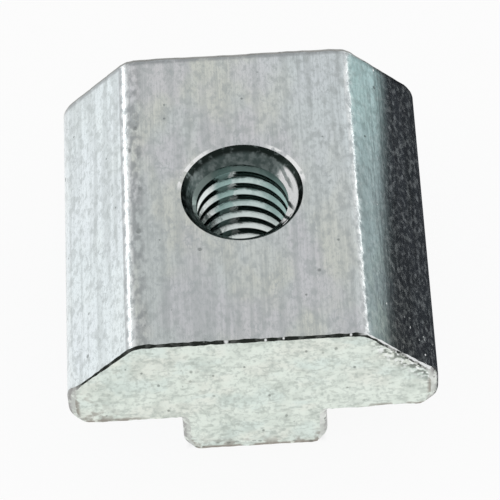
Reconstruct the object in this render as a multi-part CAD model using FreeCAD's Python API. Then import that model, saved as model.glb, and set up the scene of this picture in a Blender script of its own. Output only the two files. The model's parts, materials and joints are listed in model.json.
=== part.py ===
import FreeCAD, Part
import math
import os

# T slot nut: a slice cut from rounded T bar, with a threaded hole through it.
# X runs across the bar, Y along it and Z up. The nut stands on its tongue, with
# its base on top, and the origin is on the hole's axis, in the tongue's face.
# All lengths are in millimetres.

# Slot that the tongue runs in
slot_width = 8.0           # between the two lips of the rail's slot
tongue_clearance = 0.1     # gap on each side of the tongue

# Section of the bar, measured to its sharp corners
body_width = 19.8          # across the two upright sides
base_width = 12.2          # flat of the base, between the two chamfers
chamfer_height = 3.9       # from the top of a side up to the base
side_height = 2.7          # upright side, from the shoulder to the chamfer
tongue_height = 3.0        # from the tongue's face up to the shoulders

# Rounds of the bar's long corners
base_round = 1.3           # between the base and a chamfer
side_round = 1.6           # between a chamfer and a side
shoulder_round = 1.2       # between a side and a shoulder
root_round = 0.5           # hollow corner between a shoulder and the tongue
tongue_round = 0.9         # between the tongue's wall and its face

# Slice cut from the bar
nut_length = 20.0
near_end_round = 0.1       # crisp edge where the blade left the bar, at -Y
far_end_round = 0.3        # softer edge where the blade went in, at +Y

# Threaded hole
thread_diameter = 6.0
thread_pitch = 1.0
countersink_diameter = 6.7  # rim of the countersink on each face
countersink_angle = 90.0    # whole angle of its cone, in degrees

# Sizes that follow from the ones above
tongue_width = slot_width - 2 * tongue_clearance
shoulder_level = tongue_height
chamfer_level = shoulder_level + side_height
base_level = chamfer_level + chamfer_height
drill_radius = (thread_diameter - thread_pitch) / 2
rim_radius = countersink_diameter / 2
countersink_depth = (rim_radius - drill_radius) / math.tan(math.radians(countersink_angle / 2))

# How far a cutting tool reaches past the face that it enters
overrun = 1.0

# Distance under which two places are the same
same_place = 0.001

UP = FreeCAD.Vector(0, 0, 1)
ALONG = FreeCAD.Vector(0, 1, 0)


def half_section():
    """Corners of the right half, from the tongue's face up to the base, each with its round."""
    tongue_edge = tongue_width / 2
    body_edge = body_width / 2
    base_edge = base_width / 2
    return [
        (tongue_edge, 0, tongue_round),
        (tongue_edge, shoulder_level, root_round),
        (body_edge, shoulder_level, shoulder_round),
        (body_edge, chamfer_level, side_round),
        (base_edge, base_level, base_round),
    ]


def rounded_corner(before, corner, after, radius):
    """Arc that rounds one corner of a flat outline, tangent to both of its sides."""
    to_before = (before - corner).normalize()
    to_after = (after - corner).normalize()
    half_angle = to_before.getAngle(to_after) / 2
    tangent_length = radius / math.tan(half_angle)
    middle_reach = radius / math.sin(half_angle) - radius
    middle = corner + (to_before + to_after).normalize() * middle_reach
    return Part.Arc(corner + to_before * tangent_length, middle, corner + to_after * tangent_length)


def rounded_outline(corners):
    """Closed wire of straight sides and arcs in the XZ plane, from (x, z, round) corners."""
    points = [FreeCAD.Vector(x, 0, z) for x, z, _ in corners]
    arcs = []
    for index, (_, _, radius) in enumerate(corners):
        after = points[(index + 1) % len(points)]
        arcs.append(rounded_corner(points[index - 1], points[index], after, radius))
    edges = []
    for index, arc in enumerate(arcs):
        edges.append(Part.LineSegment(arcs[index - 1].EndPoint, arc.StartPoint).toShape())
        edges.append(arc.toShape())
    return Part.Wire(edges)


def bar_slice():
    """Piece of rounded T bar, centred on the hole's axis along its length."""
    right = half_section()
    left = [(-x, z, radius) for x, z, radius in reversed(right)]
    section = Part.Face(rounded_outline(right + left))
    section.translate(-ALONG * (nut_length / 2))
    return section.extrude(ALONG * nut_length)


def end_edges(nut, y):
    """Edges that lie wholly in the end face at y."""
    boxes = [(edge, edge.BoundBox) for edge in nut.Edges]
    return [edge for edge, box in boxes if max(abs(box.YMin - y), abs(box.YMax - y)) < same_place]


def soften_ends(nut):
    """The slice with the rim of each cut end rounded."""
    near = nut.makeFillet(near_end_round, end_edges(nut, -nut_length / 2))
    return near.makeFillet(far_end_round, end_edges(near, nut_length / 2))


def countersink(level, outward):
    """Cone that opens from the drilled hole to its rim at level, and on past the face."""
    spread = math.tan(math.radians(countersink_angle / 2))
    start = FreeCAD.Vector(0, 0, level) - outward * countersink_depth
    reach = countersink_depth + overrun
    return Part.makeCone(drill_radius, drill_radius + reach * spread, reach, start, outward)


def tapped_hole():
    """Solid of all that is cut away for the hole: the drill and a countersink on each face."""
    bottom = FreeCAD.Vector(0, 0, -overrun)
    drill = Part.makeCylinder(drill_radius, base_level + 2 * overrun, bottom, UP)
    return drill.fuse([countersink(base_level, UP), countersink(0, -UP)])


def t_slot_nut():
    """The finished nut."""
    return soften_ends(bar_slice()).cut(tapped_hole()).removeSplitter()


os.makedirs("parts", exist_ok=True)
nut = t_slot_nut()
nut.exportStep("parts/t_slot_nut.step")
box = nut.optimalBoundingBox()
print("nut", len(nut.Solids), "solid, valid", nut.isValid(), "volume mm3", round(nut.Volume, 2))
print("size mm", round(box.XLength, 3), round(box.YLength, 3), round(box.ZLength, 3))
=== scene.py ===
"""Looks of a t slot nut of zinc plated steel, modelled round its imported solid. Lengths are in metres."""

import json
import logging
import math
from collections.abc import Sequence
from dataclasses import dataclass
from enum import Enum
from typing import Any

import bmesh
import bpy
from mathutils import Matrix, Vector, noise


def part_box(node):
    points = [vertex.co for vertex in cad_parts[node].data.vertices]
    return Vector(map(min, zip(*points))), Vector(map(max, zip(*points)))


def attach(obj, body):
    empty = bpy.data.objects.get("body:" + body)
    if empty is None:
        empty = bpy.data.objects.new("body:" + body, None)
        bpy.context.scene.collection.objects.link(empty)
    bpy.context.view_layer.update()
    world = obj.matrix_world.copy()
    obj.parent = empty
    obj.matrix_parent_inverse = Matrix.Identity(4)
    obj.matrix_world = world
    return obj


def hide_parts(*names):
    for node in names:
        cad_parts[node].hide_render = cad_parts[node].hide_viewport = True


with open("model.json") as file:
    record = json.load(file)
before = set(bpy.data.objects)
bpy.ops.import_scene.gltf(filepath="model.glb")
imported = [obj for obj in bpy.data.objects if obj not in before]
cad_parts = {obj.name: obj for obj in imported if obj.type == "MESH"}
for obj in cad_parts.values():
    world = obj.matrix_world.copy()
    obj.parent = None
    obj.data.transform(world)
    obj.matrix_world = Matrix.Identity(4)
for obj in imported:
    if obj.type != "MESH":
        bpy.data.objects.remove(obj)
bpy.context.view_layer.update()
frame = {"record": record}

LOG = logging.getLogger("slot_nut")
MM = 0.001
NODE = "t_slot_nut"
BODY = "root"
MERGED = 0.0005 * MM
LEVEL = 0.0001 * MM
TOUCHING = 1e-9
CHAMFER_WAY = (0.716, 0.698)

Colour = tuple[float, float, float]


class End(Enum):
    """The two cut ends of the nut, by the way that each one faces along the bar."""

    NEAR = -1
    FAR = 1


class Face(Enum):
    """Kinds of surface on the nut, in the order of its material slots."""

    DRAWN = 0
    ROLLED = 1
    SHEARED = 2
    THREAD = 3
    COUNTERSINK = 4
    BURR = 5


class Number:
    """A number that a node puts out, on which Python arithmetic adds Math nodes."""

    def __init__(self, graph: "Graph", socket: bpy.types.NodeSocket) -> None:
        """Wraps one output socket.

        Args:
            graph: the node tree that holds the socket.
            socket: the output that carries the number.
        """
        self.graph = graph
        self.socket = socket

    def __add__(self, other: "Number | float") -> "Number":
        """This number plus another."""
        return self.graph.math("ADD", self, other)

    def __sub__(self, other: "Number | float") -> "Number":
        """This number less another."""
        return self.graph.math("SUBTRACT", self, other)

    def __rsub__(self, other: float) -> "Number":
        """A plain number less this one."""
        return self.graph.math("SUBTRACT", other, self)

    def __mul__(self, other: "Number | float") -> "Number":
        """This number times another."""
        return self.graph.math("MULTIPLY", self, other)

    __radd__ = __add__
    __rmul__ = __mul__

    def __abs__(self) -> "Number":
        """This number without its sign."""
        return self.graph.math("ABSOLUTE", self)

    def __pow__(self, power: float) -> "Number":
        """This number raised to a power."""
        return self.graph.math("POWER", self, power)

    def top(self, other: "Number | float") -> "Number":
        """The larger of this number and another."""
        return self.graph.math("MAXIMUM", self, other)


class Graph:
    """A node tree, emptied and ready for its nodes."""

    def __init__(self, owner: bpy.types.Material | bpy.types.World) -> None:
        """Empties the owner's node tree.

        Args:
            owner: the material or world whose nodes are made.
        """
        owner.use_nodes = True
        self.tree = owner.node_tree
        self.tree.nodes.clear()

    def node(
        self,
        kind: str,
        settings: dict[str, Any] | None = None,
        inputs: dict[str | int, Any] | None = None,
    ) -> bpy.types.Node:
        """Adds one node.

        Args:
            kind: the node's type.
            settings: the node's own properties, which are set first.
            inputs: values or links for its sockets, by name or by index.

        Returns:
            The new node.
        """
        made = self.tree.nodes.new(kind)
        for key, value in (settings or {}).items():
            setattr(made, key, value)
        for key, value in (inputs or {}).items():
            if isinstance(value, Number):
                value = value.socket
            if isinstance(value, bpy.types.NodeSocket):
                self.tree.links.new(value, made.inputs[key])
            else:
                made.inputs[key].default_value = value
        return made

    def math(self, operation: str, first: "Number | float", second: "Number | float" = 0.0) -> Number:
        """Adds a Math node.

        Args:
            operation: what the node does.
            first: its first number.
            second: its second number, if it has one.

        Returns:
            The result.
        """
        made = self.node("ShaderNodeMath", {"operation": operation}, {0: first, 1: second})
        return Number(self, made.outputs[0])

    def axes(self, place: bpy.types.NodeSocket) -> tuple[Number, Number, Number]:
        """The three numbers of a vector."""
        split = self.node("ShaderNodeSeparateXYZ", inputs={"Vector": place})
        return tuple(Number(self, split.outputs[axis]) for axis in "XYZ")

    def ramp(self, value: Number, low: float, high: float, bottom: float = 0.0, top: float = 1.0) -> Number:
        """A smooth ramp from one result to another.

        Args:
            value: the number that decides.
            low: where the ramp starts, which may be the larger.
            high: where the ramp ends.
            bottom: the result at its start.
            top: the result at its end.

        Returns:
            The result.
        """
        if low > high:
            low, high, bottom, top = high, low, top, bottom
        span = {"Value": value, "From Min": low, "From Max": high, "To Min": bottom, "To Max": top}
        made = self.node("ShaderNodeMapRange", {"interpolation_type": "SMOOTHSTEP"}, span)
        return Number(self, made.outputs["Result"])

    def blend(self, factor: "Number | float", under: Any, over: Any) -> bpy.types.NodeSocket:
        """Mixes two colours.

        Args:
            factor: how much of the second colour shows.
            under: the first colour, or its socket.
            over: the second colour, or its socket.

        Returns:
            The mixed colour.
        """
        under, over = ((*c, 1.0) if isinstance(c, tuple) else c for c in (under, over))
        made = self.node("ShaderNodeMix", {"data_type": "RGBA"}, {0: factor, 6: under, 7: over})
        return made.outputs[2]

    def shown_rays(self) -> Number:
        """A mask of the rays that show a background: the camera's, and those in metal and glass."""
        light = self.node("ShaderNodeLightPath")
        names = ("Is Camera Ray", "Is Glossy Ray", "Is Transmission Ray")
        camera, glossy, through = (Number(self, light.outputs[name]) for name in names)
        return camera.top(glossy).top(through)


class Metal(Graph):
    """A metal's material, patterned in the piece's own coordinates."""

    def __init__(self, name: str, base: Colour) -> None:
        """Starts a material with a Principled shader.

        Args:
            name: the material's name.
            base: the colour that the others are laid over.
        """
        self.material = bpy.data.materials.new(name)
        super().__init__(self.material)
        self.surface = self.node("ShaderNodeBsdfPrincipled", inputs={"Metallic": 1.0})
        self.node("ShaderNodeOutputMaterial", inputs={"Surface": self.surface.outputs["BSDF"]})
        self.place = self.node("ShaderNodeTexCoord").outputs["Object"]
        self.x, self.y, self.z = self.axes(self.place)
        self.colour: Any = base

    def coat(self, share: "Number | float", tone: Any) -> None:
        """Lays one more colour over the surface.

        Args:
            share: how much of the colour shows.
            tone: the colour, or its socket.
        """
        self.colour = self.blend(share, self.colour, tone)

    def span(self, value: Number, low_mm: float, high_mm: float) -> Number:
        """A ramp from 0 to 1 between two lengths in millimetres, of which the first may be the larger."""
        return self.ramp(value, low_mm * MM, high_mm * MM)

    def radius(self) -> Number:
        """How far the surface lies from the hole's axis."""
        return (self.x * self.x + self.y * self.y) ** 0.5

    def mapped(self, per_mm: Sequence[float], shift_mm: float) -> bpy.types.NodeSocket:
        """The piece's coordinates, scaled for a pattern.

        Args:
            per_mm: cells per millimetre along X, Y and Z.
            shift_mm: how far the pattern is moved, so that two of them differ.

        Returns:
            The scaled coordinates.
        """
        scale = [cells / MM for cells in per_mm]
        shift = [shift_mm * cells for cells in per_mm]
        inputs = {"Vector": self.place, "Location": shift, "Scale": scale}
        return self.node("ShaderNodeMapping", inputs=inputs).outputs["Vector"]

    def grain(self, per_mm: Sequence[float], detail: float = 2.0, shift_mm: float = 0.0) -> Number:
        """Smooth noise round 0.5.

        Args:
            per_mm: cells per millimetre along X, Y and Z.
            detail: octaves of finer noise.
            shift_mm: how far the pattern is moved.

        Returns:
            The noise.
        """
        inputs = {"Vector": self.mapped(per_mm, shift_mm), "Scale": 1.0, "Detail": detail}
        return Number(self, self.node("ShaderNodeTexNoise", inputs=inputs).outputs["Fac"])

    def specks(self, per_mm: Sequence[float], share: float, radius: float, shift_mm: float = 0.0) -> Number:
        """Small round specks, 1 inside and 0 outside.

        Args:
            per_mm: cells per millimetre along X, Y and Z.
            share: the share of the cells that hold a speck.
            radius: a speck's radius, in cells.
            shift_mm: how far the pattern is moved.

        Returns:
            The specks' mask.
        """
        inputs = {"Vector": self.mapped(per_mm, shift_mm), "Scale": 1.0}
        cells = self.node("ShaderNodeTexVoronoi", inputs=inputs)
        pick = self.node("ShaderNodeSeparateColor", inputs={"Color": cells.outputs["Color"]})
        chosen = self.ramp(Number(self, pick.outputs["Red"]), share, share * 0.8)
        return chosen * self.ramp(Number(self, cells.outputs["Distance"]), radius, radius * 0.5)

    def relief(
        self, height: Number, depth: float, under: bpy.types.NodeSocket | None = None
    ) -> bpy.types.NodeSocket:
        """Bends the surface's normal by a height.

        Args:
            height: the height, round 0 to 1.
            depth: how high 1 stands.
            under: a normal that is already bent.

        Returns:
            The bent normal.
        """
        inputs: dict[str | int, Any] = {"Strength": 1.0, "Distance": depth, "Height": height}
        if under is not None:
            inputs["Normal"] = under
        return self.node("ShaderNodeBump", inputs=inputs).outputs["Normal"]

    def finish(
        self, roughness: Number, normal: bpy.types.NodeSocket, chalky: Number | None = None
    ) -> bpy.types.Material:
        """Puts the colour and the other results on the metal's shader.

        Args:
            roughness: the metal's roughness.
            normal: its bent normal.
            chalky: where the zinc is crushed and scatters light as chalk does, if it is anywhere.

        Returns:
            The finished material.
        """
        results = {"Base Color": self.colour, "Roughness": roughness.socket, "Normal": normal}
        if chalky is not None:
            results["Metallic"] = (1 - chalky).socket
        for name, socket in results.items():
            self.tree.links.new(socket, self.surface.inputs[name])
        return self.material


@dataclass(frozen=True)
class DrawnFinish:
    """Cold drawn steel under bright zinc: satin and finely lined along the bar, with painted highlights,
    partly wear, along its top corners and round the hole's rim, painted shade beside its left corner and
    towards the flat's left front, and a painted sheen on its left chamfer and right back.
    """

    corner_x: float
    corner_z: float
    end_y: float
    rim_radius: float
    corner_lean: float = 0.42
    cool: Colour = (0.74, 0.79, 0.785)
    warm: Colour = (0.785, 0.81, 0.75)
    lilac: Colour = (0.765, 0.765, 0.80)
    bluish: Colour = (0.845, 0.92, 0.95)
    line_and_shade_colour: Colour = (0.46, 0.50, 0.50)
    scuff_colour: Colour = (0.50, 0.54, 0.55)
    dull_and_shade_colour: Colour = (0.34, 0.36, 0.37)
    highlight_and_wear_colour: Colour = (0.92, 0.94, 0.94)
    white: Colour = (0.98, 0.99, 0.99)
    pit_colour: Colour = (0.22, 0.24, 0.24)
    roughness: float = 0.17

    def material(self) -> bpy.types.Material:
        """The finish as a material."""
        s = Metal("drawn_zinc", self.cool)
        clouds = s.grain((0.45, 0.20, 0.45), 4.0)
        tints = s.grain((0.36, 0.17, 0.36), 3.0, 40.0)
        bands = s.grain((2.4, 0.09, 2.4), 2.0, 60.0)
        lines = s.grain((6.0, 0.07, 6.0), 3.0)
        hairs = s.grain((13.0, 0.32, 13.0), 2.0, 7.0)
        mottle = s.grain((2.6, 1.7, 2.6), 4.0, 3.0)
        fine = s.grain((8.0, 3.5, 8.0), 4.0, 13.0)

        past_corner = abs(s.x) - self.corner_x - (s.z - self.corner_z) * self.corner_lean
        flat = s.span(past_corner, 0.3, -0.3)
        left = s.span(s.x, 0.0, -4.0)
        on_corner = s.span(abs(past_corner - 0.2 * MM), 0.40, 0.20)
        ragged = s.ramp(s.grain((3.2, 2.1, 3.2), 4.0, 21.0), 0.36, 0.62)

        s.coat(s.ramp(clouds, 0.40, 0.60), self.warm)
        s.coat(s.ramp(tints, 0.46, 0.60) * 0.8, self.lilac)
        # Painted sheen: the left chamfer and the top towards its right back are coloured lighter and bluer,
        # standing in for the bright light they mirror, partly a tone of the plating.
        painted_sheen = s.span(s.x + s.y * 0.4, 2.0, 9.0).top(left * (1 - flat))
        s.coat(painted_sheen * 0.8, self.bluish)
        s.coat(s.ramp(bands, 0.46, 0.64) * 0.40, self.line_and_shade_colour)
        s.coat(s.ramp(hairs, 0.44, 0.70) * (flat * 0.22 + 0.10), self.line_and_shade_colour)
        # Painted shade: the flat is darker towards its left front, standing in for a dim reflection.
        s.coat(s.span(s.x, 1.0, -5.0) * s.span(s.y, 3.0, -6.0) * flat * 0.16, self.line_and_shade_colour)
        s.coat(s.ramp(mottle, 0.48, 0.66) * 0.52, self.line_and_shade_colour)
        s.coat(s.ramp(fine, 0.46, 0.70) * 0.46, self.line_and_shade_colour)

        # Painted shade: a mottled darker band on the flat beside the left corner and a dark line on its
        # chamfer side stand in for the dark reflections either side of its highlight; the band is partly
        # dull plating.
        inside = s.span(past_corner, 0.05, -0.05) * s.span(past_corner, -1.0, -0.45)
        s.coat(inside * s.ramp(mottle, 0.36, 0.58) * (left * 0.6 + 0.1), self.dull_and_shade_colour)
        outside = s.span(abs(past_corner - 0.48 * MM), 0.18, 0.05)
        s.coat(outside * left * 0.7, self.dull_and_shade_colour)
        by_far_end = s.ramp(s.y, self.end_y - 0.62 * MM, self.end_y - 0.38 * MM)
        s.coat(by_far_end * s.ramp(mottle, 0.30, 0.50, 0.4, 0.8), self.dull_and_shade_colour)

        strokes = s.ramp(s.grain((7.0, 1.1, 7.0), 3.0, 95.0), 0.50, 0.66) * s.span(s.x, 6.4, 6.8)
        s.coat(strokes * s.ramp(s.y, 7.0 * MM, -2.0 * MM, 0.2, 0.5), self.dull_and_shade_colour)
        deep = s.ramp(lines, 0.50, 0.60) * s.span(s.x, 6.6, 7.4)
        s.coat(deep * 0.45, self.dull_and_shade_colour)
        swept = s.grain((0.75, 0.45, 0.75), 5.0, 31.0)
        patches = s.ramp(s.grain((0.5, 0.4, 0.5), 2.0, 55.0), 0.46, 0.58)
        scuffs = s.ramp(abs(swept - 0.5), 0.014, 0.003) * patches
        s.coat(scuffs * 0.6, self.scuff_colour)
        # Painted highlight: a ragged white line along both top corners, partly worn plating, with painted
        # dark gaps in it.
        s.coat(on_corner * ragged * 0.6, self.highlight_and_wear_colour)
        s.coat(on_corner * (1 - ragged) * 0.45, self.dull_and_shade_colour)
        corner_pits = s.specks((1.5, 1.1, 1.5), 0.55, 0.28, 35.0) * inside * left
        rough_edge = s.ramp(s.y, 0.80 * MM - self.end_y, 0.30 * MM - self.end_y) * left
        edge_pits = s.specks((2.6, 2.6, 2.6), 0.55, 0.32, 75.0) * rough_edge * 0.5
        scattered = s.specks((0.8, 0.7, 0.8), 0.22, 0.12).top(s.specks((2.1, 1.9, 2.1), 0.06, 0.20, 5.0))
        pits = scattered.top(corner_pits).top(edge_pits)
        s.coat(pits * 0.7, self.pit_colour)

        # Painted glints: white chalky flecks on the right chamfer, thicker towards the near end, stand in
        # for glints in its dark half.
        by_near_end = s.ramp(s.y, 4.2 * MM - self.end_y, 0.8 * MM - self.end_y) * s.span(s.x, 7.0, 8.6)
        salt = s.specks((4.3, 2.9, 3.1), 0.45, 0.30, 25.0) * s.ramp(fine, 0.44, 0.54)
        flecks = s.specks((2.6, 1.5, 2.6), 0.04, 0.18, 15.0).top(salt * by_near_end)
        flecks = flecks * s.span(s.x, 6.4, 7.4)
        # Painted highlight: white arcs on the flat at the back of the hole's rim, to its left and right.
        radius = s.radius()
        rim = s.ramp(radius, self.rim_radius + 0.24 * MM, self.rim_radius + 0.14 * MM)
        rim = rim * s.span(s.y, 0.2, 0.9)
        rim = rim * s.span(abs(s.x + 0.1 * MM), 1.3, 1.9) * s.ramp(mottle, 0.36, 0.48)
        bright = flecks.top(rim)
        s.coat(bright, self.white)
        crystals = s.ramp(s.grain((4.2, 2.4, 4.2), 3.0, 71.0), 0.44, 0.72) * 0.18

        roughness = self.roughness + (mottle - 0.5) * 0.16 + (fine - 0.5) * 0.30 + pits * 0.3
        height = lines * 0.4 + hairs * 0.12 + mottle * 0.5 + fine * 0.60 - pits * 1.5 - scuffs * 0.3
        normal = s.relief(ragged * on_corner, 0.004 * MM, s.relief(height, 0.005 * MM))
        return s.finish(roughness, normal, bright.top(crystals))


@dataclass(frozen=True)
class RolledFinish:
    """The rim that the blade dragged over: dull and gritty, darker on the left and brown low down, with pale
    mottles and white nicks that are partly painted highlights.
    """

    shoulder_z: float
    end_y: float
    metal: Colour = (0.70, 0.70, 0.69)
    dull: Colour = (0.31, 0.31, 0.30)
    brown: Colour = (0.20, 0.185, 0.165)
    far_rim: Colour = (0.27, 0.275, 0.265)
    pale: Colour = (0.80, 0.85, 0.79)
    grit_colour: Colour = (0.09, 0.10, 0.095)
    nick_and_glint_colour: Colour = (0.92, 0.94, 0.92)
    roughness: float = 0.34

    def material(self) -> bpy.types.Material:
        """The finish as a material."""
        s = Metal("rolled_zinc", self.metal)
        clouds = s.grain((1.3, 1.3, 1.3), 3.0)
        fine = s.grain((6.0, 6.0, 6.0), 3.0)
        darker = s.ramp(clouds, 0.36, 0.58, 0.0, 0.8).top(s.span(s.x, 0.0, -3.0) * 0.9)
        s.coat(darker, self.dull)
        far = s.span(s.y, -1.0, 1.0)
        low = s.ramp(s.z, self.shoulder_z + 1.6 * MM, self.shoulder_z + 0.5 * MM)
        low = low * s.span(abs(s.x), 7.0, 8.4)
        s.coat(low * s.ramp(fine, 0.30, 0.60, 0.3, 0.9), self.brown)
        by_face = s.ramp(s.y + (fine - 0.5) * 0.2 * MM, 0.16 * MM - self.end_y, 0.02 * MM - self.end_y)
        s.coat(by_face * 0.45, self.pale)
        s.coat(far * s.ramp(clouds, 0.30, 0.60, 1.0, 0.6), self.far_rim)
        s.coat(far * s.span(s.x, 7.0, 8.6), self.grit_colour)
        # Painted highlights: pale gritty mottles on the near rim.
        light = s.ramp(s.grain((3.0, 3.0, 3.0), 3.0, 63.0), 0.50, 0.64) * (1 - far)
        s.coat(light * 0.75, self.pale)
        grit = s.specks((3.2, 3.2, 3.2), 0.30, 0.34)
        s.coat(grit * 0.7, self.grit_colour)
        # Painted glints: white nicks on the near rim, partly real nicks in the zinc.
        nicks = s.specks((1.6, 3.0, 1.6), 0.28, 0.26, 8.0) * (1 - far)
        s.coat(nicks * 0.8, self.nick_and_glint_colour)
        roughness = self.roughness + (fine - 0.5) * 0.3
        height = fine * 0.8 - grit * 0.8 + nicks * 2.0
        return s.finish(roughness, s.relief(height, 0.030 * MM), nicks * 0.6)


@dataclass(frozen=True)
class BurrFinish:
    """The torn rim where the blade broke out: painted nearly black as the dark that its edge mirrors, with
    white nicks on one side that are partly painted glints.
    """

    end_y: float
    low_z: float
    painted_dark: Colour = (0.035, 0.04, 0.035)
    metal: Colour = (0.16, 0.17, 0.16)
    worn: Colour = (0.50, 0.51, 0.49)
    nick_and_glint_colour: Colour = (0.90, 0.92, 0.92)
    roughness: float = 0.45

    def material(self) -> bpy.types.Material:
        """The finish as a material."""
        # Painted shade: the torn rim's base colour is nearly black, standing in for the dark reflection
        # along the edge.
        s = Metal("burred_zinc", self.painted_dark)
        clouds = s.grain((1.8, 1.8, 1.8), 3.0)
        s.coat(s.ramp(clouds, 0.50, 0.68) * 0.8, self.metal)
        s.coat(s.ramp(s.z + (clouds - 0.5) * MM, self.low_z + 0.9 * MM, self.low_z + 0.4 * MM), self.worn)
        uneven = s.y + (s.grain((3.0, 3.0, 3.0), 3.0, 33.0) - 0.5) * 0.16 * MM
        torn = s.span(s.x, 5.6, 6.2) * s.ramp(uneven, 0.068 * MM - self.end_y, 0.100 * MM - self.end_y)
        # Painted glints: white nicks, partly real, on the left and torn along the right.
        few = s.specks((1.5, 1.0, 1.5), 0.50, 0.24, 8.0).top(s.specks((3.4, 2.0, 3.4), 0.35, 0.30, 28.0))
        nicks = (few * s.span(s.x, -3.0, -1.0)).top(torn)
        frayed = s.span(s.x, 6.6, 7.4) * s.ramp(s.grain((4.0, 4.0, 4.0), 3.0, 83.0), 0.44, 0.54)
        s.coat(frayed * 0.85, self.worn)
        s.coat(nicks, self.nick_and_glint_colour)
        roughness = self.roughness + (clouds - 0.5) * 0.3
        return s.finish(roughness, s.relief(clouds + nicks, 0.020 * MM), nicks * 0.8)


@dataclass(frozen=True)
class ShearedFinish:
    """An end cut with a blade and plated: matt and pale, with short dashes and dark specks, brown and darker
    towards the bottom, along its lower edges and in the lower left corner.
    """

    edge_reach: float
    shoulder_z: float
    pale: Colour = (0.82, 0.88, 0.815)
    cream: Colour = (0.825, 0.85, 0.785)
    mint: Colour = (0.76, 0.845, 0.80)
    grey: Colour = (0.50, 0.55, 0.51)
    dash: Colour = (0.42, 0.46, 0.42)
    brown: Colour = (0.33, 0.30, 0.265)
    white: Colour = (0.96, 0.98, 0.97)
    speck_colour: Colour = (0.11, 0.13, 0.11)
    roughness: float = 0.52

    def material(self) -> bpy.types.Material:
        """The finish as a material."""
        s = Metal("sheared_zinc", self.pale)
        clouds = s.grain((0.45, 0.45, 0.6), 3.0, 11.0)
        tints = s.grain((0.5, 0.5, 0.7), 3.0, 27.0)
        blotches = s.grain((1.2, 1.2, 0.9), 4.0, 2.0)
        short = s.grain((2.1, 2.1, 4.2), 3.0, 17.0)
        grit = s.grain((4.6, 4.6, 3.4), 3.0, 9.0)
        s.coat(s.ramp(clouds, 0.46, 0.64) * 0.7, self.cream)
        s.coat(s.ramp(tints, 0.50, 0.66) * 0.8, self.mint)
        s.coat(s.ramp(blotches, 0.44, 0.76) * 0.36, self.grey)
        s.coat(s.ramp(short, 0.52, 0.68) * 0.42, self.dash)
        s.coat(s.ramp(grit, 0.46, 0.72) * 0.60, self.grey)
        worms = s.ramp(abs(s.grain((1.1, 1.1, 0.85), 3.0, 37.0) - 0.5), 0.045, 0.005)
        worms = worms * s.ramp(s.grain((0.9, 0.9, 1.1), 2.0, 45.0), 0.44, 0.58)
        s.coat(worms * 0.35, self.grey)
        # Brown and darker towards the bottom, along the lower edges and in the lower left corner.
        low = s.span(s.z, 1.1, 0.2)
        foot = s.span(s.z, 0.34, 0.18) * s.ramp(blotches, 0.40, 0.52)
        ledge = s.ramp(s.z, self.shoulder_z + 0.42 * MM, self.shoulder_z + 0.16 * MM)
        ledge = ledge * s.span(abs(s.x), 5.0, 7.0) * s.ramp(short, 0.42, 0.56)
        toe = s.span(abs(s.x), 3.10, 3.42) * s.span(s.z, 1.7, 0.6) * s.ramp(short, 0.36, 0.48)
        heel = s.span(abs(s.x), 9.22, 9.42) * s.span(s.z - self.shoulder_z, 2.9, 1.9)
        heel = heel * s.ramp(short, 0.36, 0.48)
        s.coat(foot.top(ledge).top(toe.top(heel) * 0.9) * 0.9, self.brown)
        in_corner = s.span(s.x + s.z * 0.8, -3.6, -5.8)
        brown_patches = s.ramp(s.grain((1.6, 1.6, 1.6), 4.0, 51.0), 0.46, 0.60)
        s.coat(in_corner.top(low) * brown_patches * 0.7, self.brown)

        under_edge = abs(s.x) * CHAMFER_WAY[0] + s.z * CHAMFER_WAY[1] - self.edge_reach
        torn = s.span(under_edge, -1.2, -0.30) * s.span(s.x, 5.6, 7.2)
        s.coat(torn * s.ramp(s.grain((3.2, 3.2, 3.2), 3.0, 81.0), 0.46, 0.56) * 0.75, self.speck_colour)
        s.coat(torn * s.ramp(s.grain((3.0, 3.0, 3.0), 3.0, 91.0), 0.50, 0.58) * 0.9, self.white)

        pits = s.specks((0.9, 0.9, 0.62), 0.32, 0.13).top(s.specks((2.4, 2.4, 1.7), 0.12, 0.24, 5.0))
        low_specks = s.specks((2.2, 2.2, 3.0), 0.55, 0.34, 23.0) * low
        s.coat(pits.top(low_specks) * 0.56, self.speck_colour)
        roughness = self.roughness + (blotches - 0.5) * 0.3
        height = blotches * 0.8 + short * 0.7 + grit * 0.6 - pits * 1.2 - worms * 0.4
        return s.finish(roughness, s.relief(height, 0.020 * MM))


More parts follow.
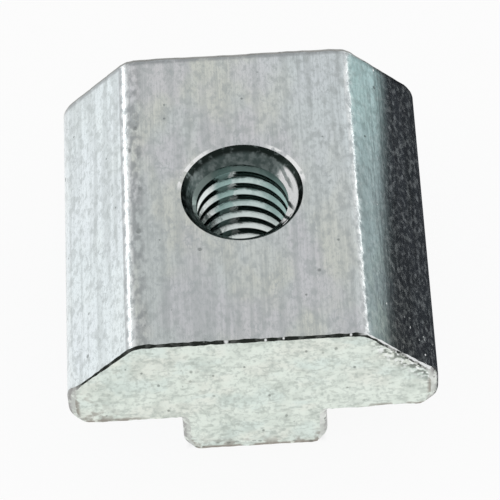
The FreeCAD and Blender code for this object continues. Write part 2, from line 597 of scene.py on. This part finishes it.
@dataclass(frozen=True)
class TurnedFinish:
    """A countersink under zinc: fine rings, its colour darkened as painted shade and partly tarnish, nearly
    black by the rim, with a painted highlight on its right side.
    """

    rim_radius: float
    dull: Colour = (0.20, 0.235, 0.23)
    tarnish_and_shade: Colour = (0.085, 0.115, 0.11)
    black: Colour = (0.02, 0.028, 0.025)
    highlight_white: Colour = (0.99, 1.0, 1.0)
    roughness: float = 0.20

    def material(self) -> bpy.types.Material:
        """The finish as a material."""
        # Painted shade: the cone's base colour is dark, standing in for the dark it mirrors, partly tarnish.
        s = Metal("turned_zinc", self.tarnish_and_shade)
        rings = s.grain((0.15, 0.15, 9.0), 2.0)
        mottle = s.grain((3.0, 3.0, 3.0), 3.0)
        radius = s.radius()
        outer = s.ramp(radius, self.rim_radius - 0.42 * MM, self.rim_radius - 0.22 * MM)
        s.coat(s.ramp(mottle, 0.40, 0.66), self.dull)
        # Painted reflection: a nearly black ring next to the rim.
        s.coat(outer * s.ramp(mottle, 0.72, 0.50), self.black)
        # Painted highlight: the cone's right side is chalky white where it mirrors bright light, crossed by
        # dark diagonal lines.
        uneven = s.x + (mottle - 0.5) * 0.4 * MM
        highlight_side = s.span(uneven, 1.95, 2.2) * s.span(s.y, 2.0, 1.6)
        highlight_side = highlight_side * s.ramp(radius, self.rim_radius - 0.26 * MM, self.rim_radius - 0.36 * MM)
        across = s.math("PINGPONG", s.x * 0.93 + s.y * 0.364 + (mottle - 0.5) * 0.1 * MM, 0.275 * MM)
        scored = s.span(across, 0.115, 0.050) * s.span(s.x, 2.85, 2.55)
        highlight_side = highlight_side * (1 - scored * 0.85)
        s.coat(highlight_side, self.highlight_white)
        roughness = self.roughness + (mottle - 0.5) * 0.16 + highlight_side * 0.2
        normal = s.relief(rings * 0.8 + mottle * 0.5, 0.012 * MM)
        return s.finish(roughness, normal, highlight_side.top((1 - outer) * 0.10))


@dataclass(frozen=True)
class ThreadFinish:
    """A tapped thread under zinc: bluish green flanks, painted white on the left and in the lower turns as
    highlight, crests painted dark as shade, and a painted highlight streak down them.
    """

    minor_radius: float
    metal: Colour = (0.72, 0.86, 0.84)
    dull: Colour = (0.56, 0.70, 0.68)
    crest: Colour = (0.05, 0.09, 0.08)
    faded_crest: Colour = (0.36, 0.54, 0.51)
    highlight_colour: Colour = (0.93, 1.0, 0.98)
    roughness: float = 0.18

    def material(self) -> bpy.types.Material:
        """The finish as a material."""
        s = Metal("tapped_zinc", self.metal)
        mottle = s.grain((2.4, 2.4, 3.5), 3.0)
        wavy = s.x + (mottle - 0.5) * 0.7 * MM
        radius = s.radius()
        s.coat(s.ramp(mottle, 0.42, 0.66) * 0.6, self.dull)
        in_band = s.span(abs(wavy + 0.95 * MM), 0.50, 0.30)
        s.coat(in_band.top(s.span(wavy, 0.8, 1.6)) * 0.8, self.faded_crest)
        # Painted highlight: flanks white on the left and in the lower turns.
        s.coat(s.span(wavy, -1.4, -1.7).top(s.span(s.z, 5.5, 3.5)), self.highlight_colour)
        # Painted shade: the top turns under the countersink darkened.
        s.coat(s.span(s.z, 7.6, 8.3) * 0.85, self.crest)
        # Painted shade: the crests are dark, standing in for the dark they mirror, and paler in a band and
        # towards the right.
        crest_colour = s.blend(in_band, self.crest, self.faded_crest)
        on_crest = s.ramp(radius, self.minor_radius + 0.045 * MM, self.minor_radius + 0.015 * MM)
        s.coat(on_crest, crest_colour)
        # Painted highlight: a light streak down the crests just left of the middle.
        highlight_streak = s.span(abs(wavy + 0.5 * MM), 0.28, 0.12) * s.ramp(mottle, 0.38, 0.50) * on_crest
        s.coat(highlight_streak, self.highlight_colour)
        roughness = self.roughness + (mottle - 0.5) * 0.20
        return s.finish(roughness, s.relief(mottle, 0.020 * MM), highlight_streak.top(in_band * on_crest * 0.7))


@dataclass(frozen=True)
class BarSection:
    """Section of the drawn bar, measured to its sharp corners, with the rounds of those corners."""

    width: float
    height: float
    shoulder_level: float
    base_width: float = 12.2 * MM
    side_height: float = 2.7 * MM
    tongue_width: float = 7.8 * MM
    base_round: float = 1.3 * MM
    side_round: float = 1.6 * MM
    shoulder_round: float = 1.2 * MM
    root_round: float = 0.5 * MM
    tongue_round: float = 0.9 * MM
    arc_steps: int = 8
    side_step: float = 0.3 * MM

    @property
    def chamfer_level(self) -> float:
        """Height at which the upright sides end and the chamfers start."""
        return self.shoulder_level + self.side_height

    @property
    def chamfer_reach(self) -> float:
        """How far the chamfers' planes lie from the middle of the tongue's face."""
        return self.base_width / 2 * CHAMFER_WAY[0] + self.height * CHAMFER_WAY[1]

    def corners(self) -> list[tuple[Vector, float]]:
        """The sharp corners in order round the section.

        Returns:
            Each corner's place in the XZ plane, with its round.
        """
        right = [
            (self.tongue_width / 2, 0.0, self.tongue_round),
            (self.tongue_width / 2, self.shoulder_level, self.root_round),
            (self.width / 2, self.shoulder_level, self.shoulder_round),
            (self.width / 2, self.chamfer_level, self.side_round),
            (self.base_width / 2, self.height, self.base_round),
        ]
        left = [(-x, z, radius) for x, z, radius in reversed(right)]
        return [(Vector((x, 0.0, z)), radius) for x, z, radius in right + left]

    def outline(self, mesh: bmesh.types.BMesh) -> list[bmesh.types.BMVert]:
        """Draws the rounded section in the XZ plane, with short even sides.

        Args:
            mesh: the empty mesh that it goes in.

        Returns:
            The closed outline's points in order.
        """
        corners = self.corners()
        verts = [mesh.verts.new(place) for place, _ in corners]
        mesh.faces.new(verts)
        for index, vert in enumerate(verts):
            place, radius = corners[index]
            to_last = corners[index - 1][0] - place
            to_next = corners[(index + 1) % len(corners)][0] - place
            tangent = radius / math.tan(to_last.angle(to_next) / 2)
            bmesh.ops.bevel(
                mesh, geom=[vert], offset=tangent, offset_type="OFFSET", affect="VERTICES",
                segments=self.arc_steps, profile=0.5, material=-1,
            )
        for edge in list(mesh.edges):
            cuts = int(edge.calc_length() / self.side_step)
            if cuts:
                bmesh.ops.subdivide_edges(mesh, edges=[edge], cuts=cuts)
        around = [loop.vert for loop in next(iter(mesh.faces)).loops]
        bmesh.ops.delete(mesh, geom=list(mesh.faces), context="FACES_ONLY")
        return around

    def outward(self, around: list[bmesh.types.BMVert]) -> list[Vector]:
        """The outline's normals, away from its inside.

        Args:
            around: the outline's points in order.

        Returns:
            A unit normal for each point.
        """
        places = [vert.co.copy() for vert in around]
        pairs = list(zip(places[-1:] + places[:-1], places[1:] + places[:1]))
        turned = (Vector((after.z - before.z, 0.0, before.x - after.x)) for before, after in pairs)
        normals = [normal.normalized() for normal in turned]
        highest = max(range(len(places)), key=lambda index: places[index].z)
        return normals if normals[highest].z > 0 else [-normal for normal in normals]


def smooth(value: float, low: float, high: float) -> float:
    """Rises smoothly from 0 at low to 1 at high.

    Args:
        value: the number that decides.
        low: where it starts to rise.
        high: where it has risen.

    Returns:
        The share risen.
    """
    share = min(max((value - low) / (high - low), 0.0), 1.0)
    return share * share * (3 - 2 * share)


@dataclass(frozen=True)
class CutEnds:
    """How the blade left the rims: rolled at the near end's sides, torn on its top, eased at the far end."""

    rolled: float = 0.42 * MM
    eased: float = 0.30 * MM
    crisp: float = 0.14 * MM
    thin: float = 0.07 * MM
    ragged: float = 0.05 * MM
    least: float = 0.03 * MM
    coarse_grain: float = 0.55 * MM
    fine_grain: float = 0.22 * MM
    coarse_at: float = 5 * MM
    fine_at: float = 9 * MM
    rolls_from: float = 0.30
    rolls_to: float = 0.85
    fade_below: float = 0.3 * MM
    fade_above: float = 0.9 * MM
    burr_above: float = 0.35 * MM
    right_blend: float = 0.6 * MM
    blend_in: float = 0.15 * MM
    steps: int = 6

    def share(self, end: End, place: Vector, normal: Vector, section: BarSection) -> float:
        """How far the rim is rolled at one point, from 0 for crisp to 1 for fully rolled.

        Args:
            end: the end that the rim belongs to.
            place: the point on the rim.
            normal: the section's normal there.
            section: the bar's section.

        Returns:
            The share there.
        """
        if end is End.FAR:
            return smooth(place.z, section.shoulder_level, section.chamfer_level)
        level = section.chamfer_level
        above = smooth(place.z, level - self.fade_below, level + self.fade_above)
        return smooth(abs(normal.x), self.rolls_from, self.rolls_to) * (1 - above)

    def reach(self, end: End, place: Vector, share: float, section: BarSection) -> float:
        """How far the rim's rounding or chamfer reaches at one point.

        Args:
            end: the end that the rim belongs to.
            place: the point on the rim.
            share: how far it is rolled there.
            section: the bar's section.

        Returns:
            The reach there.
        """
        right = smooth(place.x, section.base_width / 2, section.base_width / 2 + self.right_blend)
        high = smooth(place.z, section.chamfer_level, section.height)
        crisp = self.thin + (self.crisp - self.thin) * max(high, right)
        coarse = noise.noise(Vector((place.x, end.value * self.coarse_at, place.z)) / self.coarse_grain)
        fine = noise.noise(Vector((place.x, end.value * self.fine_at, place.z)) / self.fine_grain)
        full = self.rolled if end is End.NEAR else self.eased
        reach = crisp + (full - crisp) * share
        return max(reach + (coarse + fine) * self.ragged, self.least)

    def shift(self, end: End, at: float, place: Vector, normal: Vector, section: BarSection) -> Vector:
        """Moves a point of the rim from the section to where it belongs.

        Args:
            end: the end that the rim belongs to.
            at: the point's place on the rim, from 0 at the end's face to 1 at the bar's surface.
            place: the point on the section.
            normal: the section's normal there.
            section: the bar's section.

        Returns:
            The point's place, with the end's plane at 0 along Y.
        """
        share = self.share(end, place, normal, section)
        reach = self.reach(end, place, share, section)
        turn = at * math.pi / 2
        inset = (1 - math.sin(turn)) * share + (1 - at) * (1 - share)
        back = (1 - math.cos(turn)) * share + at * (1 - share)
        return place - normal * (inset * reach) - Vector((0, end.value * back * reach, 0))


@dataclass(frozen=True)
class Thread:
    """Right-hand metric thread tapped in the hole."""

    minor_radius: float
    pitch: float = 1.0 * MM
    depth: float = 0.45 * MM
    crest: float = 0.40 * MM
    ease: float = 0.04 * MM
    phase: float = 0.30
    flank: float = 30.0
    lead_turns: int = 2
    spare_turns: int = 4
    turn_steps: int = 96

    def groove(self) -> list[tuple[float, float]]:
        """One pitch of the thread's profile, from the middle of a crest to the middle of the next.

        Returns:
            Radius and rise of each point.
        """
        root = self.minor_radius + self.depth
        edge = self.crest / 2
        floor = edge + self.depth * math.tan(math.radians(self.flank))
        half = [
            (self.minor_radius, 0.0),
            (self.minor_radius, edge - self.ease),
            (self.minor_radius + self.ease * 0.6, edge + self.ease * 0.4),
            (root - self.ease, floor - self.ease * 0.6),
            (root, floor + self.ease * 0.4),
        ]
        return half + [(radius, self.pitch - rise) for radius, rise in reversed(half)]

    def tap(self, low: float, high: float) -> bpy.types.Object:
        """The solid that a tap cuts away: a screw on the hole's axis.

        Args:
            low: height of its lower end.
            high: height of its upper end.

        Returns:
            The screw.
        """
        mesh = bmesh.new()
        start = low - (self.lead_turns - self.phase) * self.pitch
        climb = (0, 0, self.pitch / self.turn_steps)
        verts = [mesh.verts.new((radius, 0.0, start + rise)) for radius, rise in self.groove()]
        edges = [mesh.edges.new(pair) for pair in zip(verts, verts[1:])]
        bmesh.ops.spin(
            mesh, geom=verts + edges, cent=(0, 0, 0), axis=(0, 0, 1), dvec=climb,
            angle=math.tau, steps=self.turn_steps, use_merge=False,
        )
        turn = mesh.verts[:] + mesh.edges[:] + mesh.faces[:]
        for index in range(1, math.ceil((high - low) / self.pitch) + self.spare_turns):
            made = bmesh.ops.duplicate(mesh, geom=turn)["geom"]
            copied = [item for item in made if isinstance(item, bmesh.types.BMVert)]
            bmesh.ops.translate(mesh, verts=copied, vec=(0, 0, index * self.pitch))
        bmesh.ops.remove_doubles(mesh, verts=mesh.verts, dist=MERGED)
        for level, way in ((low, -1), (high, 1)):
            everything = mesh.verts[:] + mesh.edges[:] + mesh.faces[:]
            bmesh.ops.bisect_plane(
                mesh, geom=everything, dist=TOUCHING, plane_co=(0, 0, level), plane_no=(0, 0, way),
                clear_outer=True,
            )
            rim = [edge for edge in mesh.edges if edge.is_boundary and self.lies_at(edge, level)]
            bmesh.ops.holes_fill(mesh, edges=rim, sides=0)
        bmesh.ops.recalc_face_normals(mesh, faces=mesh.faces[:])
        return solid("tap", mesh)

    def lies_at(self, edge: bmesh.types.BMEdge, level: float) -> bool:
        """Whether an edge lies in the plane at a height."""
        return all(abs(vert.co.z - level) < LEVEL for vert in edge.verts)


@dataclass(frozen=True)
class Countersink:
    """The cone at each mouth of the hole, with its shoulder eased."""

    minor_radius: float
    depth: float
    ease: float = 0.075 * MM
    inset: float = 0.6 * MM
    past: float = 1.0 * MM
    steps: int = 96

    @property
    def rim_radius(self) -> float:
        """Radius at which the cone meets the nut's face."""
        return self.minor_radius + self.depth

    def tool(self, name: str, level: float, way: int) -> bpy.types.Object:
        """What a countersink cuts away at one face.

        Args:
            name: the tool's name.
            level: height of the face.
            way: 1 for a face that looks up, -1 for one that looks down.

        Returns:
            The solid to cut with.
        """
        inner = self.minor_radius - self.inset
        rim = self.rim_radius
        profile = [
            (0.0, inner - rim),
            (inner, inner - rim),
            (rim - 2 * self.ease, -2 * self.ease),
            (rim - self.ease / 2, self.ease * 0.1),
            (rim - self.ease / 2, self.past),
            (0.0, self.past),
        ]
        mesh = bmesh.new()
        verts = [mesh.verts.new((radius, 0.0, level + way * rise)) for radius, rise in profile]
        edges = [mesh.edges.new(pair) for pair in zip(verts, verts[1:])]
        bmesh.ops.spin(
            mesh, geom=verts + edges, cent=(0, 0, 0), axis=(0, 0, 1), dvec=(0, 0, 0), angle=math.tau,
            steps=self.steps, use_merge=True,
        )
        bmesh.ops.remove_doubles(mesh, verts=mesh.verts[:], dist=MERGED)
        bmesh.ops.recalc_face_normals(mesh, faces=mesh.faces[:])
        return solid(name, mesh)


def solid(name: str, mesh: bmesh.types.BMesh) -> bpy.types.Object:
    """Makes an object of a finished mesh.

    Args:
        name: the object's name.
        mesh: the mesh, which is freed.

    Returns:
        The object, linked to the scene.
    """
    data = bpy.data.meshes.new(name)
    mesh.to_mesh(data)
    mesh.free()
    made = bpy.data.objects.new(name, data)
    bpy.context.scene.collection.objects.link(made)
    return made


@dataclass
class SlotNut:
    """The nut: a slice of bar with shaped ends and a countersunk, tapped hole."""

    section: BarSection
    ends: CutEnds
    thread: Thread
    countersink: Countersink
    length: float
    stations: int = 56
    sharp_angle: float = 28.0
    margin: float = 1.5 * MM

    @classmethod
    def from_frame(cls) -> "SlotNut":
        """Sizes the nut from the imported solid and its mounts.

        Returns:
            The nut, ready to build.
        """
        low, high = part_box(NODE)
        size = high - low
        mounts = {mount["name"]: mount for mount in frame["record"]["mounts"]}
        wall = mounts["thread"]["dims"]
        radius = wall["r_mm"] * MM
        return cls(
            section=BarSection(
                width=size.x, height=size.z, shoulder_level=mounts["left_shoulder"]["pos_m"][2],
            ),
            ends=CutEnds(),
            thread=Thread(minor_radius=radius),
            countersink=Countersink(minor_radius=radius, depth=(size.z - wall["length_mm"] * MM) / 2),
            length=size.y,
        )

    def bar(self) -> bpy.types.Object:
        """The slice of bar, with its ends' rims shaped and no hole yet.

        Returns:
            The closed slice.
        """
        mesh = bmesh.new()
        around = self.section.outline(mesh)
        places = [vert.co.copy() for vert in around]
        normals = self.section.outward(around)
        edges = list(mesh.edges)
        rows = self.rows()
        self.place_row(around, places, normals, rows[0])
        for last, row in zip(rows, rows[1:]):
            made = bmesh.ops.extrude_edge_only(mesh, edges=edges)["geom"]
            edges = [item for item in made if isinstance(item, bmesh.types.BMEdge)]
            fresh = {item for item in made if isinstance(item, bmesh.types.BMVert)}
            around = [self.drawn_out(vert, fresh) for vert in around]
            self.place_row(around, places, normals, row)
            end = row[0] if row[0] is last[0] else None
            for face in (item for item in made if isinstance(item, bmesh.types.BMFace)):
                face.material_index = self.rim_finish(end, face).value
        caps = bmesh.ops.holes_fill(mesh, edges=[edge for edge in mesh.edges if edge.is_boundary], sides=0)
        ring = bmesh.ops.inset_region(
            mesh, faces=caps["faces"], thickness=self.ends.blend_in, use_even_offset=True,
        )
        for face in caps["faces"] + ring["faces"]:
            face.material_index = Face.SHEARED.value
        bmesh.ops.recalc_face_normals(mesh, faces=mesh.faces[:])
        return solid(NODE + "_plated", mesh)

    def drawn_out(self, vert: bmesh.types.BMVert, fresh: set[bmesh.types.BMVert]) -> bmesh.types.BMVert:
        """The fresh point that was drawn out of an older one."""
        beside = (edge.other_vert(vert) for edge in vert.link_edges)
        return next(other for other in beside if other in fresh)

    def rim_finish(self, end: End | None, face: bmesh.types.BMFace) -> Face:
        """The kind of surface that a strip of the bar has at one face.

        Args:
            end: the end whose rim the strip lies in, if it lies in one.
            face: the face.

        Returns:
            The kind of surface.
        """
        if end is None:
            return Face.DRAWN
        above = face.calc_center_median().z - self.section.chamfer_level
        return Face.BURR if end is End.NEAR and above > self.ends.burr_above else Face.ROLLED

    def rows(self) -> list[tuple[End | None, float]]:
        """Rows of points along the bar: each end's rim in steps, and even rows between.

        Returns:
            For a row in a rim, its end and its place from 0 to 1; for another, None and its place along Y.
        """
        steps = self.ends.steps
        near = [(End.NEAR, step / steps) for step in range(steps + 1)]
        far = [(End.FAR, 1 - step / steps) for step in range(steps + 1)]
        reach = self.length / 2 - self.ends.rolled - 3 * self.ends.ragged
        even = [(None, -reach + 2 * reach * index / self.stations) for index in range(self.stations + 1)]
        return near + even + far

    def place_row(
        self,
        around: list[bmesh.types.BMVert],
        places: list[Vector],
        normals: list[Vector],
        row: tuple[End | None, float],
    ) -> None:
        """Moves one row of points to where it belongs on the bar.

        Args:
            around: the row's points, in order.
            places: their places on the section.
            normals: the section's normals there.
            row: the row, as rows gives it.
        """
        end, at = row
        for vert, place, normal in zip(around, places, normals):
            if end is None:
                vert.co = place + Vector((0, at, 0))
                continue
            rim = self.ends.shift(end, at, place, normal, self.section)
            vert.co = rim + Vector((0, end.value * self.length / 2, 0))

    def cut(self, nut: bpy.types.Object, tools: list[bpy.types.Object]) -> None:
        """Cuts the hole with its tools, whose finishes stay on what they cut.

        Args:
            nut: the slice of bar.
            tools: the solids to cut with, which are used up.
        """
        for tool in tools:
            cut = nut.modifiers.new(tool.name, "BOOLEAN")
            cut.object = tool
            cut.operation = "DIFFERENCE"
            cut.solver = "MANIFOLD"
            cut.material_mode = "TRANSFER"
        view = bpy.context.evaluated_depsgraph_get()
        whole = nut.data
        nut.data = bpy.data.meshes.new_from_object(nut.evaluated_get(view))
        nut.modifiers.clear()
        bpy.data.meshes.remove(whole)
        for tool in tools:
            bpy.data.meshes.remove(tool.data)

    def shade(self, data: bpy.types.Mesh) -> None:
        """Shades the surfaces smooth, with sharp edges at corners and beside the burr.

        Args:
            data: the nut's mesh.
        """
        data.shade_smooth()
        data.set_sharp_from_angle(angle=math.radians(self.sharp_angle))
        mesh = bmesh.new()
        mesh.from_mesh(data)
        for edge in mesh.edges:
            finishes = {face.material_index for face in edge.link_faces}
            if Face.BURR.value in finishes and len(finishes) > 1:
                edge.smooth = False
        mesh.to_mesh(data)
        mesh.free()

    def build(self) -> bpy.types.Object:
        """Models the nut and gives every surface its finish.

        Returns:
            The finished piece.
        """
        nut = self.bar()
        finishes = {
            Face.DRAWN: DrawnFinish(
                corner_x=self.section.base_width / 2, corner_z=self.section.height, end_y=self.length / 2,
                rim_radius=self.countersink.rim_radius,
            ),
            Face.ROLLED: RolledFinish(shoulder_z=self.section.shoulder_level, end_y=self.length / 2),
            Face.SHEARED: ShearedFinish(
                edge_reach=self.section.chamfer_reach, shoulder_z=self.section.shoulder_level,
            ),
            Face.THREAD: ThreadFinish(minor_radius=self.thread.minor_radius),
            Face.COUNTERSINK: TurnedFinish(rim_radius=self.countersink.rim_radius),
            Face.BURR: BurrFinish(end_y=self.length / 2, low_z=self.section.chamfer_level),
        }
        for kind in Face:
            nut.data.materials.append(finishes[kind].material())
        tap = self.thread.tap(-self.margin, self.section.height + self.margin)
        tap.data.materials.append(nut.data.materials[Face.THREAD.value])
        upper = self.countersink.tool("upper_countersink", self.section.height, 1)
        lower = self.countersink.tool("lower_countersink", 0.0, -1)
        for tool in (upper, lower):
            tool.data.materials.append(nut.data.materials[Face.COUNTERSINK.value])
        self.cut(nut, [tap, upper, lower])
        self.shade(nut.data)
        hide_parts(NODE)
        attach(nut, BODY)
        LOG.info("nut: %d faces, %d points", len(nut.data.polygons), len(nut.data.vertices))
        return nut


def toward(azimuth: float, elevation: float) -> Vector:
    """A unit direction.

    Args:
        azimuth: bearing from +Y towards +X, in degrees.
        elevation: height above the floor, in degrees.

    Returns:
        The direction.
    """
    turn, up = math.radians(azimuth), math.radians(elevation)
    return Vector((math.sin(turn) * math.cos(up), math.cos(turn) * math.cos(up), math.sin(up)))


def mirrored_only(made: bpy.types.Object) -> None:
    """Leaves a piece of the stage to show in the metal alone."""
    made.visible_camera = False
    made.visible_diffuse = False
    made.visible_shadow = False


@dataclass(frozen=True)
class Screen:
    """An upright curved screen that only shows in the metal, as the things round a real set do."""

    name: str
    radius: float
    start: float
    stop: float
    bottom: float
    top: float
    tone: Colour
    steps: int = 32

    def build(self) -> bpy.types.Object:
        """Makes the screen, between its two bearings from +Y towards +X and its two heights.

        Returns:
            The screen.
        """
        mesh = bmesh.new()
        foot = toward(self.start, 0.0) * self.radius
        verts = [mesh.verts.new(foot + Vector((0, 0, level))) for level in (self.bottom, self.top)]
        edge = mesh.edges.new(verts)
        bmesh.ops.spin(
            mesh, geom=[*verts, edge], cent=(0, 0, 0), axis=(0, 0, -1), dvec=(0, 0, 0),
            angle=math.radians(self.stop - self.start), steps=self.steps, use_merge=False,
        )
        made = solid(self.name, mesh)
        paint = bpy.data.materials.new(self.name)
        g = Graph(paint)
        glow = g.node("ShaderNodeEmission", inputs={"Color": (*self.tone, 1.0)})
        g.node("ShaderNodeOutputMaterial", inputs={"Surface": glow.outputs[0]})
        made.data.materials.append(paint)
        mirrored_only(made)
        return made


@dataclass(frozen=True)
class Blind:
    """Fine upright slats beside the nut, dark low down, which show in its metal alone, from the front."""

    near: float = 10.10 * MM
    far: float = 10.35 * MM
    height: float = 11.5 * MM
    first: float = -10.5 * MM
    spacing: float = 0.1 * MM
    slats: int = 240
    dark_to: float = 8.0 * MM
    dark_slope: float = 0.04
    dark_edge: float = 0.5 * MM
    front_to: float = 2.0 * MM
    back_from: float = 11.5 * MM
    dark: Colour = (0.030, 0.032, 0.037)
    front: Colour = (0.39, 0.46, 0.465)
    back: Colour = (0.51, 0.65, 0.64)

    def build(self) -> bpy.types.Object:
        """Makes the slats.

        Returns:
            The blind.
        """
        mesh = bmesh.new()
        bmesh.ops.create_grid(mesh, x_segments=1, y_segments=1, size=0.5)
        centre = Vector(((self.near + self.far) / 2, self.first, self.height / 2))
        upright = Matrix.Translation(centre) @ Matrix.Rotation(math.radians(90), 4, "X")
        sized = upright @ Matrix.Diagonal((self.far - self.near, self.height, 1.0, 1.0))
        bmesh.ops.transform(mesh, matrix=sized, verts=mesh.verts[:])
        slat = mesh.verts[:] + mesh.edges[:] + mesh.faces[:]
        for index in range(1, self.slats):
            fresh = bmesh.ops.duplicate(mesh, geom=slat)["geom"]
            copied = [item for item in fresh if isinstance(item, bmesh.types.BMVert)]
            bmesh.ops.translate(mesh, verts=copied, vec=(0, index * self.spacing, 0))
        made = solid("right_blind", mesh)
        made.data.materials.append(self.paint())
        mirrored_only(made)
        return made

    def paint(self) -> bpy.types.Material:
        """The slats' material, clear from behind.

        Returns:
            The material.
        """
        paint = bpy.data.materials.new("right_blind")
        g = Graph(paint)
        _, y, z = g.axes(g.node("ShaderNodeTexCoord").outputs["Object"])
        upper = g.blend(g.ramp(y, self.front_to, self.back_from), self.front, self.back)
        above = z + y * self.dark_slope - self.dark_to
        tone = g.blend(g.ramp(above, -self.dark_edge, self.dark_edge), self.dark, upper)
        glow = g.node("ShaderNodeEmission", inputs={"Color": tone})
        clear = g.node("ShaderNodeBsdfTransparent")
        behind = Number(g, g.node("ShaderNodeNewGeometry").outputs["Backfacing"])
        mix = g.node("ShaderNodeMixShader", inputs={0: behind, 1: glow.outputs[0], 2: clear.outputs[0]})
        g.node("ShaderNodeOutputMaterial", inputs={"Surface": mix.outputs[0]})
        return paint


@dataclass(frozen=True)
class SoftBox:
    """A soft lamp that faces the nut. A radiance of 1 looks white."""

    name: str
    azimuth: float
    elevation: float
    distance: float
    width: float
    height: float
    radiance: float

    def build(self, aim: Vector) -> bpy.types.Object:
        """Makes the lamp.

        Args:
            aim: the point that it faces.

        Returns:
            The lamp.
        """
        data = bpy.data.lights.new(self.name, "AREA")
        data.shape = "RECTANGLE"
        data.size, data.size_y = self.width, self.height
        data.energy = self.radiance * math.pi * self.width * self.height
        made = bpy.data.objects.new(self.name, data)
        bpy.context.scene.collection.objects.link(made)
        way = toward(self.azimuth, self.elevation)
        made.location = aim + way * self.distance
        made.rotation_euler = (-way).to_track_quat("-Z", "Y").to_euler()
        return made


@dataclass(frozen=True)
class Studio:
    """White floor and tent, soft boxes, and the camera at the photograph's angle."""

    footprint: tuple[float, float]
    aim: tuple[float, float, float] = (0.239 * MM, -0.199 * MM, 4.73 * MM)
    distance: float = 195.0 * MM
    elevation: float = 52.1
    azimuth: float = -0.45
    roll: float = 3.65
    lens: float = 255.3
    horizon: float = 1.30
    zenith: float = 0.84
    overhead: tuple[float, float] = (0.1, 0.9)
    floor_glow: float = 0.9
    floor_reach: float = 1.5
    floor_tone: Colour = (0.93, 0.93, 0.93)
    shade_edge: float = 1.0 * MM
    sensor: float = 36.0
    clip: tuple[float, float] = (1.0 * MM, 10.0)
    soft_boxes: tuple[SoftBox, ...] = (
        SoftBox("left_soft_box", -49.5, 19, 0.30, 0.06, 0.045, 1.5),
        SoftBox("right_soft_box", 49.5, 21, 0.30, 0.04, 0.06, 1.05),
    )
    screens: tuple[Screen, ...] = (
        Screen("front_screen", 0.25, 95, 255, 0.045, 0.385, (0.50, 0.51, 0.51)),
        Screen("left_front_screen", 0.25, 215, 255, -0.02, 0.045, (0.03, 0.03, 0.03)),
    )
    blind: Blind = Blind()

    def camera(self) -> bpy.types.Object:
        """The camera at the photograph's viewing angle.

        Returns:
            The camera.
        """
        data = bpy.data.cameras.new("camera")
        data.lens = self.lens
        data.sensor_width = self.sensor
        data.clip_start, data.clip_end = self.clip
        made = bpy.data.objects.new("camera", data)
        bpy.context.scene.collection.objects.link(made)
        forward = toward(self.azimuth, -self.elevation)
        made.location = Vector(self.aim) - forward * self.distance
        level = forward.to_track_quat("-Z", "Y").to_matrix()
        made.rotation_euler = (level @ Matrix.Rotation(math.radians(-self.roll), 3, "Z")).to_euler()
        bpy.context.scene.camera = made
        return made

    def floor(self) -> bpy.types.Object:
        """The white floor, which keeps the nut's shadow; its glow is left out under the nut's footprint, a
        painted shadow that makes it dark under the tongue.

        Returns:
            The floor.
        """
        mesh = bmesh.new()
        bmesh.ops.create_grid(mesh, x_segments=1, y_segments=1, size=self.floor_reach)
        made = solid("floor", mesh)
        paint = bpy.data.materials.new("floor")
        g = Graph(paint)
        x, y, _ = g.axes(g.node("ShaderNodeTexCoord").outputs["Object"])
        # Painted shadow: the glow stops at the nut's footprint, so that the floor beneath shows only its lit
        # shading.
        beyond = (abs(x) - self.footprint[0] / 2).top(abs(y) - self.footprint[1] / 2)
        open_floor = g.ramp(beyond, -self.shade_edge, 0.0)
        plain = g.node("ShaderNodeBsdfDiffuse", inputs={"Color": (*self.floor_tone, 1.0)})
        white = g.node("ShaderNodeEmission")
        share = g.shown_rays() * open_floor * self.floor_glow
        mix = g.node("ShaderNodeMixShader", inputs={0: share, 1: plain.outputs[0], 2: white.outputs[0]})
        g.node("ShaderNodeOutputMaterial", inputs={"Surface": mix.outputs[0]})
        made.data.materials.append(paint)
        return made

    def tent(self) -> None:
        """The tent round the scene: white at the sides and a little greyer overhead."""
        world = bpy.data.worlds.new("tent")
        g = Graph(world)
        _, _, up = g.axes(g.node("ShaderNodeTexCoord").outputs["Generated"])
        tone = g.ramp(up, *self.overhead, self.horizon, self.zenith)
        camera = Number(g, g.node("ShaderNodeLightPath").outputs["Is Camera Ray"])
        strength = tone * (1 - camera) + camera
        glow = g.node("ShaderNodeBackground", inputs={"Strength": strength})
        g.node("ShaderNodeOutputWorld", inputs={"Surface": glow.outputs[0]})
        bpy.context.scene.world = world

    def build(self) -> None:
        """Sets the whole studio up."""
        self.tent()
        self.floor()
        for soft_box in self.soft_boxes:
            soft_box.build(Vector(self.aim))
        for screen in self.screens:
            screen.build()
        self.blind.build()
        self.camera()
        bpy.context.scene.view_settings.view_transform = "Standard"


def main() -> None:
    """Builds the nut and the studio round it."""
    logging.basicConfig(level=logging.INFO, format="%(name)s %(message)s")
    maker = SlotNut.from_frame()
    nut = maker.build()
    LOG.info("piece %s rides on %s", nut.name, BODY)
    Studio(footprint=(maker.section.tongue_width, maker.length)).build()


if __name__ == "__main__":
    main()
